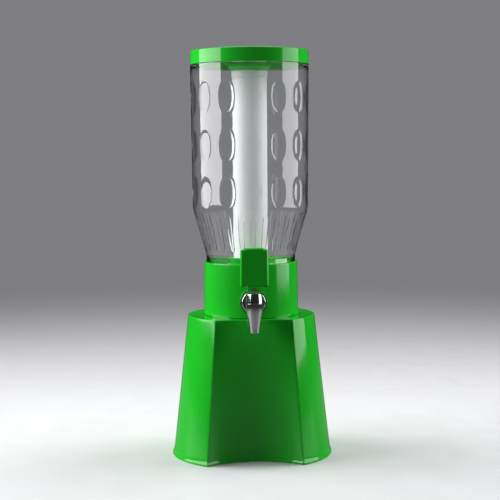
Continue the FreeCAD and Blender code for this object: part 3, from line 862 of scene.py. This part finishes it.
vessel = {
    "neckRadius": 55.2 * mm,
    "coneStart": 249.6 * mm,
    "shoulder": 306.0 * mm,
    "shoulderRadius": 71.4 * mm,
    "barrelTop": 482.6 * mm,
    "barrelTopRadius": 73.1 * mm,
    "neckBend": 30.0 * mm,
    "shoulderBend": 45.0 * mm,
    "wall": 2.4 * mm,
    "aroundSteps": 224,
    "dimple": {"columns": 14, "halfWidth": 10.0 * mm, "halfHeight": 19.0 * mm, "depth": 1.1 * mm,
               "squareness": 2.3, "edge": 6, "along": 16},
    "dimpleRows": ((305.3, 327.6, 355.8), (355.8, 384.0, 412.9), (412.9, 441.8, 464.0)),
    "flute": {"columns": 28, "halfWidth": 3.3 * mm, "halfHeight": 23.4 * mm, "depth": 1.0 * mm,
              "squareness": 3.2, "edge": 3, "along": 28},
    "fluteRow": (251.2, 278.25, 305.3),
    "outsideShares": (1.0, 0.5, 0.2, 0.05),
    "insideShares": (1.0, 0.975, 0.93, 0.86, 0.76, 0.6, 0.3),
    "innerOutsideShares": (1.0, 0.2),
    "innerInsideShares": (1.0, 0.93, 0.8, 0.55),
    "neckRows": ((55.2, 248.2), (55.2, 245.4), (55.2, 241), (55.2, 237.1), (55.05, 236.75),
                 (54.7, 236.6), (53.9, 236.6), (53.4, 236.2), (53.4, 226.6), (53.25, 226.2), (52.8, 226.0)),
    "rimRows": ((None, 470), (None, 476), (None, 481), (73.1, 482.3), (72.8, 482.6), (70.9, 482.6),
                (70.6, 482.9), (70.6, 495.6), (70.4, 496.05), (70.0, 496.2), (69.0, 496.2),
                (68.55, 496.05), (68.4, 495.6), (68.4, 486.0), (68.6, 484.2), (70.2, 480.0),
                (70.68, 477.0), (70.65, 470)),
    "footRows": ((52.8, 239.0), (52.6, 238.2), (51.2, 235.6), (51.0, 234.9), (51.0, 226.6), (51.15, 226.2),
                 (51.6, 226.0)),
    "lugRoot": 53.0 * mm,
    "lugRadius": 55.1 * mm,
    "lugTop": 233.3 * mm,
    "lugHeight": 2.9 * mm,
    "lugSpan": 44,
    "lugAngles": (90, 210, 330),
}


def bendAt(before, corner, after, bend):
    # A round between two straight lines of (radius, height) points: its ends and its centre.
    toBefore = (before - corner).normalized()
    toAfter = (after - corner).normalized()
    half = toBefore.angle(toAfter) / 2
    reach = bend / math.tan(half)
    start, end = corner + toBefore * reach, corner + toAfter * reach
    centre = corner + (toBefore + toAfter).normalized() * (bend / math.sin(half))
    return start, end, centre


def wallLine(values):
    # The vessel's outer radius as a function of height, below the rim.
    neck = values["neckRadius"]
    points = [Vector((neck, 0)), Vector((neck, values["coneStart"])),
              Vector((values["shoulderRadius"], values["shoulder"])),
              Vector((values["barrelTopRadius"], values["barrelTop"]))]
    sizes = (values["neckBend"], values["shoulderBend"])
    bends = [bendAt(*points[first:first + 3], bend) for first, bend in enumerate(sizes)]

    def radiusAt(height):
        for (start, end, centre), bend, side in zip(bends, sizes, (-1, 1)):
            if start.y <= height <= end.y:
                return centre.x + side * math.sqrt(bend ** 2 - (height - centre.y) ** 2)
        for low, high in zip(points, points[1:]):
            if height <= high.y:
                break
        return low.x + (high.x - low.x) * (height - low.y) / (high.y - low.y)

    return radiusAt


def wallPoint(radiusAt, angle, height, depth):
    # A point on the vessel's wall, pushed inward by a depth.
    step = 0.2 * mm
    slope = (radiusAt(height + step) - radiusAt(height - step)) / (2 * step)
    length = math.hypot(1, slope)
    radius = radiusAt(height) - depth / length
    return Vector((radius * math.cos(angle), radius * math.sin(angle), height + depth * slope / length))


def addHollow(bm, radiusAt, row, form, across, outsideShares, insideShares):
    # One panel of the wall with an oval hollow pressed into its middle.
    low, centre, high = (height * mm for height in row)
    along, depth, squareness = form["along"], form["depth"], form["squareness"]
    halfAngle = math.pi / form["columns"]
    widthAngle = form["halfWidth"] / radiusAt(centre)
    border = [(2 * step / across - 1, -1) for step in range(across)]
    border += [(1, 2 * step / along - 1) for step in range(along)]
    border += [(-side, -rise) for side, rise in border]

    def spot(side, rise, outside, inside):
        reach = (abs(side) ** squareness + abs(rise) ** squareness) ** (-1 / squareness)
        angle = side * reach * widthAngle * inside
        height = centre + rise * reach * form["halfHeight"] * inside
        edgeHeight = low + (high - low) * (rise + 1) / 2
        angle += (side * halfAngle - angle) * outside
        height += (edgeHeight - height) * outside
        return wallPoint(radiusAt, angle, height, depth * (1 - inside ** form["edge"]))

    rings = [[spot(side, rise, share, 1) for side, rise in border] for share in outsideShares]
    rings += [[spot(side, rise, 0, share) for side, rise in border] for share in insideShares]
    grown = grownWall(bm, rings)
    made = [vert for ring in grown for vert in ring]
    cap = bm.faces.new(grown[-1])
    fan = bmesh.ops.poke(bm, faces=[cap])
    fan["verts"][0].co = wallPoint(radiusAt, 0, centre, depth)
    made += fan["verts"]
    faces = {face for vert in made for face in vert.link_faces}
    edges = {edge for face in faces for edge in face.edges}
    return made + list(edges) + list(faces)


def ringLike(guide, radius, height):
    # A circle of points, each as far round as the guide's point.
    angles = [math.atan2(point.y, point.x) for point in guide]
    return [Vector((radius * math.cos(angle), radius * math.sin(angle), height)) for angle in angles]


def levelRing(bm, height, count):
    # The open ring of verts at a height, in order round the axis.
    ring = [vert for vert in bm.verts if vert.is_boundary and abs(vert.co.z - height) < seamWeld]
    ring.sort(key=lambda vert: math.atan2(vert.co.y, vert.co.x))
    if len(ring) != count:
        raise ValueError("the vessel's open ring has %d points" % len(ring))
    return ring


def addHollowRows(bm, radiusAt, values, outsideShares, insideShares):
    # The dimple rows and the flute row, repeated all the way round.
    panels = [(row, values["dimple"]) for row in values["dimpleRows"]]
    panels.append((values["fluteRow"], values["flute"]))
    for row, form in panels:
        columns = form["columns"]
        panel = addHollow(bm, radiusAt, row, form, values["aroundSteps"] // columns, outsideShares,
                          insideShares)
        swing(bm, [item for item in panel if isinstance(item, bmesh.types.BMVert)], -90)
        roundTheAxis(bm, panel, fullTurn * (columns - 1) / columns, columns - 1, copies=True)


def makeVessel(values):
    # The wall's outside and inside carry the same hollows, as blown plastic does, and a rim and a
    # foot join them.
    radiusAt = wallLine(values)
    wall, count = values["wall"], values["aroundSteps"]
    top, bottom = values["dimpleRows"][-1][2] * mm, values["fluteRow"][0] * mm
    bm = bmesh.new()
    addHollowRows(bm, radiusAt, values, values["outsideShares"], values["insideShares"])
    bmesh.ops.remove_doubles(bm, verts=bm.verts, dist=seamWeld)
    upper, lower = levelRing(bm, top, count), levelRing(bm, bottom, count)
    guide = [vert.co.copy() for vert in upper]
    for radius, level in values["rimRows"]:
        reach = radiusAt(level * mm) if radius is None else radius * mm
        upper = grownRing(bm, upper, ringLike(guide, reach, level * mm))
    for radius, level in values["neckRows"]:
        lower = grownRing(bm, lower, ringLike(guide, radius * mm, level * mm))
    for radius, level in reversed(values["footRows"]):
        lower = grownRing(bm, lower, ringLike(guide, radius * mm, level * mm))

    def insideAt(height):
        return radiusAt(height) - wall

    inner = bmesh.new()
    addHollowRows(inner, insideAt, values, values["innerOutsideShares"], values["innerInsideShares"])
    bmesh.ops.remove_doubles(inner, verts=inner.verts, dist=seamWeld)
    innerUpper, innerLower = levelRing(inner, top, count), levelRing(inner, bottom, count)
    grownRing(bm, upper, [vert.co.copy() for vert in innerUpper])
    grownRing(bm, lower, [vert.co.copy() for vert in innerLower])
    bm = joined([bm, inner])
    bmesh.ops.remove_doubles(bm, verts=bm.verts, dist=seamWeld)
    closeUp(bm)
    print("vessel wall closed")
    lugs = sectors(values["lugRoot"], values["lugRadius"], values["lugTop"] - values["lugHeight"],
                   values["lugTop"], values["lugAngles"], values["lugSpan"])
    return joined([bm, lugs])


finished("clearVessel", makeVessel(vessel), "tank", vesselClear, ["vessel"], steady=False)
print("vessel done")


# Lid

lid = {
    "foot": 482.9 * mm,
    "radius": 73.1 * mm,
    "top": 500.0 * mm,
    "wall": 2.2 * mm,
    "topThickness": 2.6 * mm,
    "edge": 1.6 * mm,
    "plugRadius": 68.0 * mm,
    "plugWall": 2.0 * mm,
    "plugDepth": 8.4 * mm,
    "panelRadius": 62.0 * mm,
    "panelDepth": 0.8 * mm,
    "ventRadius": 1.2 * mm,
    "ventOffset": 45.0 * mm,
    "bossRadius": 26.3 * mm,
    "bossConeTop": 483.0 * mm,
    "bossFoot": 476.0 * mm,
    "bossFootRadius": 22.4 * mm,
    "bossWall": 2.4 * mm,
    "tubePlug": 18.9 * mm,
    "tubePlugWall": 2.2 * mm,
    "tubePlugFoot": 466.0 * mm,
    "lugRadius": 20.3 * mm,
    "lugBottom": 467.0 * mm,
    "lugHeight": 2.5 * mm,
    "lugSpan": 24,
    "lugAngles": (60, 240),
    "ventDepth": 10 * mm,
    "bossThickening": 2 * mm,
    "bossRound": 1 * mm,
    "panelRound": 0.4 * mm,
    "round": 0.6 * mm,
}


def makeLid(values):
    soft, bossRound, thickening = values["round"], values["bossRound"], values["bossThickening"]
    underside = values["top"] - values["topThickness"]
    skirt = values["radius"] - values["wall"]
    plug = values["plugRadius"]
    plugInner = plug - values["plugWall"]
    plugFoot = underside - values["plugDepth"]
    bossInner = values["bossRadius"] - values["bossWall"]
    tubeInner = values["tubePlug"] - values["tubePlugWall"]
    panel = values["panelRadius"]
    floor = values["top"] - values["panelDepth"]
    body = turned([
        (0, underside),
        (bossInner, underside, bossRound),
        (bossInner, values["bossConeTop"] + thickening, bossRound),
        (tubeInner, values["bossFoot"] + thickening, bossRound),
        (tubeInner, values["tubePlugFoot"]),
        (values["tubePlug"], values["tubePlugFoot"], soft),
        (values["tubePlug"], values["bossFoot"]),
        (values["bossFootRadius"], values["bossFoot"], soft),
        (values["bossRadius"], values["bossConeTop"], bossRound),
        (values["bossRadius"], underside),
        (plugInner, underside),
        (plugInner, plugFoot),
        (plug, plugFoot, soft),
        (plug, underside),
        (skirt, underside),
        (skirt, values["foot"]),
        (values["radius"], values["foot"], soft),
        (values["radius"], values["top"], values["edge"]),
        (panel, values["top"], values["panelRound"]),
        (panel - values["panelDepth"], floor, values["panelRound"]),
        (0, floor),
    ], steps=160)
    vent = bmesh.new()
    bmesh.ops.create_cone(vent, cap_ends=True, segments=32, radius1=values["ventRadius"],
                          radius2=values["ventRadius"], depth=values["ventDepth"])
    shift(vent, (0, values["ventOffset"], values["top"]))
    body = carved(body, [vent], "DIFFERENCE")
    lugs = sectors(tubeInner + overlap, values["lugRadius"], values["lugBottom"],
                   values["lugBottom"] + values["lugHeight"], values["lugAngles"], values["lugSpan"])
    return joined([body, lugs])


finished("lidCap", makeLid(lid), "cover", lidGreen, ["lid"])
print("lid done")


# Ice tube

iceTube = {
    "radius": 21.3 * mm,
    "wall": 2.0 * mm,
    "bottom": 237.5 * mm,
    "bottomRound": 5.0 * mm,
    "mouthRadius": 22.3 * mm,
    "mouthTop": 475.0 * mm,
    "mouthHeight": 7.5 * mm,
    "mouthBore": 19.1 * mm,
    "grooveRadius": 20.5 * mm,
    "grooveBottom": 466.6 * mm,
    "grooveHeight": 3.4 * mm,
    "grooveSlope": 1.5 * mm,
    "mouthSlope": 1 * mm,
    "mouthFootRound": 0.5 * mm,
    "mouthTopRound": 0.6 * mm,
    "entrySpan": 32,
    "entryAngles": (0, 180),
}


def makeIceTube(values):
    inner = values["radius"] - values["wall"]
    top, bottom = values["mouthTop"], values["bottom"]
    mouthBottom = top - values["mouthHeight"]
    grooveTop = values["grooveBottom"] + values["grooveHeight"]
    body = turned([
        (0, bottom),
        (values["radius"], bottom, values["bottomRound"]),
        (values["radius"], mouthBottom - values["mouthSlope"]),
        (values["mouthRadius"], mouthBottom, values["mouthFootRound"]),
        (values["mouthRadius"], top, values["mouthTopRound"]),
        (values["mouthBore"], top),
        (values["mouthBore"], grooveTop),
        (values["grooveRadius"], grooveTop),
        (values["grooveRadius"], values["grooveBottom"]),
        (inner, values["grooveBottom"] - values["grooveSlope"]),
        (inner, bottom + values["wall"], values["bottomRound"] - values["wall"]),
        (0, bottom + values["wall"]),
    ], steps=128, segments=6)
    entries = sectors(values["mouthBore"] - 2 * overlap, values["grooveRadius"],
                      values["grooveBottom"] + overlap, top + overlap, values["entryAngles"],
                      values["entrySpan"])
    return carved(body, [entries], "DIFFERENCE")


finished("frostedTube", makeIceTube(iceTube), "ice", tubeFrost, ["ice_tube"])
print("ice tube done")


# Tap

tap = {
    "padFace": housing["padFace"],
    "washer": 2.2 * mm,
    "washerRadius": 15.7 * mm,
    "flangeRadius": 14.3 * mm,
    "flange": 3.2 * mm,
    "flangeRound": 1.2 * mm,
    "shankRadius": 8.0 * mm,
    "shankBore": 5.0 * mm,
    "shankEnd": 36.0 * mm,
    "threadPitch": 2.0 * mm,
    "threadDepth": 0.6 * mm,
    "threadStart": 52.6 * mm,
    "pipeRadius": 6.2 * mm,
    "pipeBore": 4.2 * mm,
    "pipeStart": 192.0 * mm,
    "pipeEnd": 188.5 * mm,
    "spout": ((9.95, 192.5), (9.15, 183.0), (6.95, 171.0), (5.95, 161.5)),
    "spoutBore": 4.2 * mm,
    "seatRadius": 4.6 * mm,
    "seatBottom": 184.5 * mm,
    "chamberRadius": 7.9 * mm,
    "chamberBottom": 187.8 * mm,
    "collarRadius": 8.7 * mm,
    "collarTop": 205.0 * mm,
    "bonnetBottom": 197.0 * mm,
    "bonnetTop": 209.3 * mm,
    "bonnetRadius": 10.1 * mm,
    "bonnetTopRadius": 9.3 * mm,
    "bonnetRoof": 2.5 * mm,
    "bonnetRound": 2.2 * mm,
    "bonnetGap": 0.05 * mm,
    "stemHole": 2.55 * mm,
    "spoutRows": 16,
    "edge": 0.3 * mm,
    "seamEdge": 0.2 * mm,
    "tipEdge": 0.35 * mm,
    "shankEdge": 0.4 * mm,
    "washerEdge": 0.5 * mm,
}


def onTap(bm):
    return shift(bm, (0, -tapReach, 0))


def spoutRadius(points, height):
    # A smooth curve through the spout's (radius, height) points.
    levels = [level for radius, level in points]
    total = 0
    for radius, level in points:
        for other in levels:
            if other != level:
                radius *= (height - other) / (level - other)
        total += radius
    return total


def makeTapBody(values):
    flangeBack = values["padFace"] + values["washer"]
    flangeFront = flangeBack + values["flange"]
    top, tip = values["spout"][0], values["spout"][-1]
    edge, seamEdge, rows = values["edge"], values["seamEdge"], values["spoutRows"]
    side = []
    for row in range(1, rows):
        level = top[1] + (tip[1] - top[1]) * row / rows
        side.append((spoutRadius(values["spout"], level) * mm, level * mm))
    spout = onTap(turned([
        (0, values["collarTop"]),
        (values["collarRadius"], values["collarTop"], edge),
        (values["collarRadius"], values["bonnetBottom"]),
        (top[0] * mm, values["bonnetBottom"], seamEdge),
        (top[0] * mm, top[1] * mm),
    ] + side + [
        (tip[0] * mm, tip[1] * mm, values["tipEdge"]),
        (0, tip[1] * mm),
    ], steps=96, segments=3))
    flange = alongFront([
        (0, flangeBack),
        (values["flangeRadius"], flangeBack, seamEdge),
        (values["flangeRadius"], flangeFront, values["flangeRound"]),
        (0, flangeFront),
    ], steps=96, segments=5)
    crest, pitch, shankEnd = values["shankRadius"], values["threadPitch"], values["shankEnd"]
    root, quarter = crest - values["threadDepth"], pitch / 4
    shankCorners = [(0, shankEnd), (crest, shankEnd, values["shankEdge"])]
    depth = shankEnd + pitch / 2
    while depth < values["threadStart"] - pitch / 2:
        shankCorners += [(crest, depth), (root, depth + quarter), (root, depth + 2 * quarter),
                         (crest, depth + 3 * quarter)]
        depth += pitch
    shankCorners += [(crest, flangeBack + overlap), (0, flangeBack + overlap)]
    shank = alongFront(shankCorners, steps=48)
    start = Vector((0, -(flangeFront - overlap), values["pipeStart"]))
    end = Vector((0, -(tapReach - values["chamberRadius"] / 2), values["pipeEnd"]))
    pipe = tubeBetween(start, end, values["pipeRadius"])
    body = carved(spout, [pipe, flange, shank], "UNION")
    chamber = onTap(turned([
        (0, tip[1] * mm - overlap),
        (values["spoutBore"], tip[1] * mm - overlap),
        (values["spoutBore"], values["seatBottom"] - 2 * overlap),
        (values["seatRadius"], values["seatBottom"]),
        (values["chamberRadius"], values["chamberBottom"]),
        (values["chamberRadius"], values["collarTop"] + overlap),
        (0, values["collarTop"] + overlap),
    ], steps=64))
    bore = alongFront([(0, shankEnd - overlap), (values["shankBore"], shankEnd - overlap),
                       (values["shankBore"], flangeFront - overlap), (0, flangeFront - overlap)], steps=40)
    passage = tubeBetween(start + Vector((0, 2 * overlap, 0)), end, values["pipeBore"])
    return carved(body, [chamber, bore, passage], "DIFFERENCE")


def tubeBetween(start, end, radius):
    run = end - start
    bm = bmesh.new()
    aim = Matrix.Translation((start + end) / 2) @ run.to_track_quat("Z", "Y").to_matrix().to_4x4()
    bmesh.ops.create_cone(bm, cap_ends=True, segments=64, radius1=radius, radius2=radius,
                          depth=run.length, matrix=aim)
    return bm


def makeBonnet(values):
    inner, edge = values["collarRadius"] + values["bonnetGap"], values["edge"]
    roof = values["bonnetTop"] - values["bonnetRoof"]
    return onTap(turned([
        (inner, values["bonnetBottom"]),
        (values["bonnetRadius"], values["bonnetBottom"], edge),
        (values["bonnetTopRadius"], values["bonnetTop"], values["bonnetRound"]),
        (values["stemHole"], values["bonnetTop"], edge),
        (values["stemHole"], roof),
        (inner, roof),
    ], steps=128, segments=6))


def makeFrontWasher(values):
    front = values["padFace"] + values["washer"]
    return alongFront([
        (values["shankRadius"], values["padFace"]),
        (values["washerRadius"], values["padFace"], values["edge"]),
        (values["washerRadius"], front, values["washerEdge"]),
        (values["shankRadius"], front),
    ], steps=96)


finished("tapBody", makeTapBody(tap), "tower", tapChrome, ["tap_body"])
finished("tapBonnet", makeBonnet(tap), "tower", tapChrome, ["tap_bonnet"])
finished("frontWasher", makeFrontWasher(tap), "tower", blackRubber, ["front_washer"])
print("tap done")


# Lever

lever = {
    "pinHeight": 212.5 * mm,
    "pinBore": 1.29 * mm,
    "foot": 209.5 * mm,
    "bottom": 216.3 * mm,
    "shoulder": 261.0 * mm,
    "top": 262.8 * mm,
    "bottomWidth": 34.2 * mm,
    "topWidth": 33.2 * mm,
    "tabWidth": 24.4 * mm,
    "thickness": 5.2 * mm,
    "cornerRound": 2.1 * mm,
    "rim": 1.7 * mm,
    "rimSoft": 0.35 * mm,
    "forkInner": 5.5 * mm,
    "forkThickness": 2.8 * mm,
    "forkFront": 4.7 * mm,
    "forkRear": 4.2 * mm,
    "webFront": 4.4 * mm,
    "webThickness": 1.6 * mm,
    "webBottom": 214.7 * mm,
    "webReach": 6.0 * mm,
    "webRim": 0.2 * mm,
    "forkRound": 0.4 * mm,
    "forkRim": 0.25 * mm,
}
# The turn between a plate's face and its chamfered rim
chamferTurn = math.radians(45)
chamferSlack = math.radians(10)


def mirrored(corners):
    # A symmetrical outline from its right half, listed upward.
    return corners + [(-corner[0], *corner[1:]) for corner in reversed(corners)]


def plate(corners, thickness, rim, soft=0):
    # A plate from (across, height, round) corners, its thickness along Y about zero, its rims chamfered.
    bm = bmesh.new()
    verts = [bm.verts.new((corner[0], thickness / 2, corner[1])) for corner in corners]
    for index, vert in enumerate(verts):
        bm.edges.new((verts[index - 1], vert))
    roundCorners(bm, verts, corners)
    face = bmesh.ops.contextual_create(bm, geom=bm.edges[:])["faces"][0]
    made = bmesh.ops.extrude_face_region(bm, geom=[face])["geom"]
    moved = [item for item in made if isinstance(item, bmesh.types.BMVert)]
    bmesh.ops.translate(bm, vec=(0, -thickness, 0), verts=moved)
    closeUp(bm)
    rims = [edge for edge in bm.edges if abs(edge.verts[0].co.y - edge.verts[1].co.y) < seamWeld]
    roundEdges(bm, rims, rim, segments=1)
    if soft:
        turns = [edge for edge in bm.edges if abs(edge.calc_face_angle(0) - chamferTurn) < chamferSlack]
        roundEdges(bm, turns, soft, segments=3)
    return bm


def makeLever(values):
    tab, corner, legTop = values["tabWidth"] / 2, values["cornerRound"], values["bottom"] + overlap
    paddle = plate(mirrored([
        (values["bottomWidth"] / 2, values["bottom"], corner),
        (values["topWidth"] / 2, values["shoulder"], corner),
        (tab, values["shoulder"]),
        (tab, values["top"]),
    ]), values["thickness"], values["rim"], values["rimSoft"])
    additions = []
    for side in (-1, 1):
        leg = plate([
            (-values["forkFront"], values["foot"], values["forkRound"]),
            (values["forkRear"], values["foot"], values["forkRound"]),
            (values["forkRear"], legTop),
            (-values["forkFront"], legTop),
        ], values["forkThickness"], values["forkRim"])
        swing(leg, leg.verts, 90)
        middle = side * (values["forkInner"] + values["forkThickness"] / 2)
        additions.append(shift(leg, (middle, -tapReach, 0)))
    web = plate(mirrored([(values["webReach"], values["webBottom"]), (values["webReach"], legTop)]),
                values["webThickness"], values["webRim"])
    additions.append(shift(web, (0, values["webThickness"] / 2 - values["webFront"] - tapReach, 0)))
    body = carved(onTap(paddle), additions, "UNION")
    reach = values["forkInner"] + values["forkThickness"] + 2 * overlap
    spot = Vector((0, -tapReach, values["pinHeight"]))
    bore = tubeBetween(spot - Vector((reach, 0, 0)), spot + Vector((reach, 0, 0)), values["pinBore"])
    return carved(body, [bore], "DIFFERENCE")


finished("paddleLever", makeLever(lever), "lever", leverGreen, ["tap_handle"])
print("lever done")


# Valve spring

valveSpring = {
    "radius": 4.7 * mm,
    "wire": 0.45 * mm,
    "turns": 5,
    "stepsPerTurn": 40,
    "wireSides": 12,
    "travel": 2.2 * mm,
}


def makeValveSpring(values, low, high):
    # Winds a round wire up from the seat cup to the bonnet's roof.
    wire, steps = values["wire"], values["turns"] * values["stepsPerTurn"]
    rise = (high - low - 2 * wire) / steps
    aim = Matrix.Translation((values["radius"], 0, low + wire)) @ Matrix.Rotation(math.radians(90), 4, "X")
    bm = bmesh.new()
    bmesh.ops.create_circle(bm, cap_ends=True, segments=values["wireSides"], radius=wire, matrix=aim)
    bmesh.ops.spin(bm, geom=bm.verts[:] + bm.edges[:] + bm.faces[:], cent=(0, 0, 0), axis=up,
                   dvec=(0, 0, rise), angle=values["turns"] * fullTurn, steps=steps)
    bmesh.ops.recalc_face_normals(bm, faces=bm.faces)
    return onTap(bm)


springLow, springHigh = (corner[2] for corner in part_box("valve_spring"))
spring = finished("valveSpring", makeValveSpring(valveSpring, springLow, springHigh), "tower",
                  stainless, ["valve_spring"], steady=False)
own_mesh(spring)
print("spring done")


# Small fittings keep their own shape and get their finish

fittings = {
    "vessel_seal": silicone,
    "lid_seal": silicone,
    "ice_tube_seal": silicone,
    "stem_seal": silicone,
    "seat_cup": silicone,
    "rear_washer": blackRubber,
    "shank_nut": blackNylon,
    "valve_stem": stainless,
    "handle_pin": stainless,
}
for nodeName, material in fittings.items():
    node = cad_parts[nodeName]
    node.data.materials.clear()
    node.data.materials.append(material)
print("fittings finished")
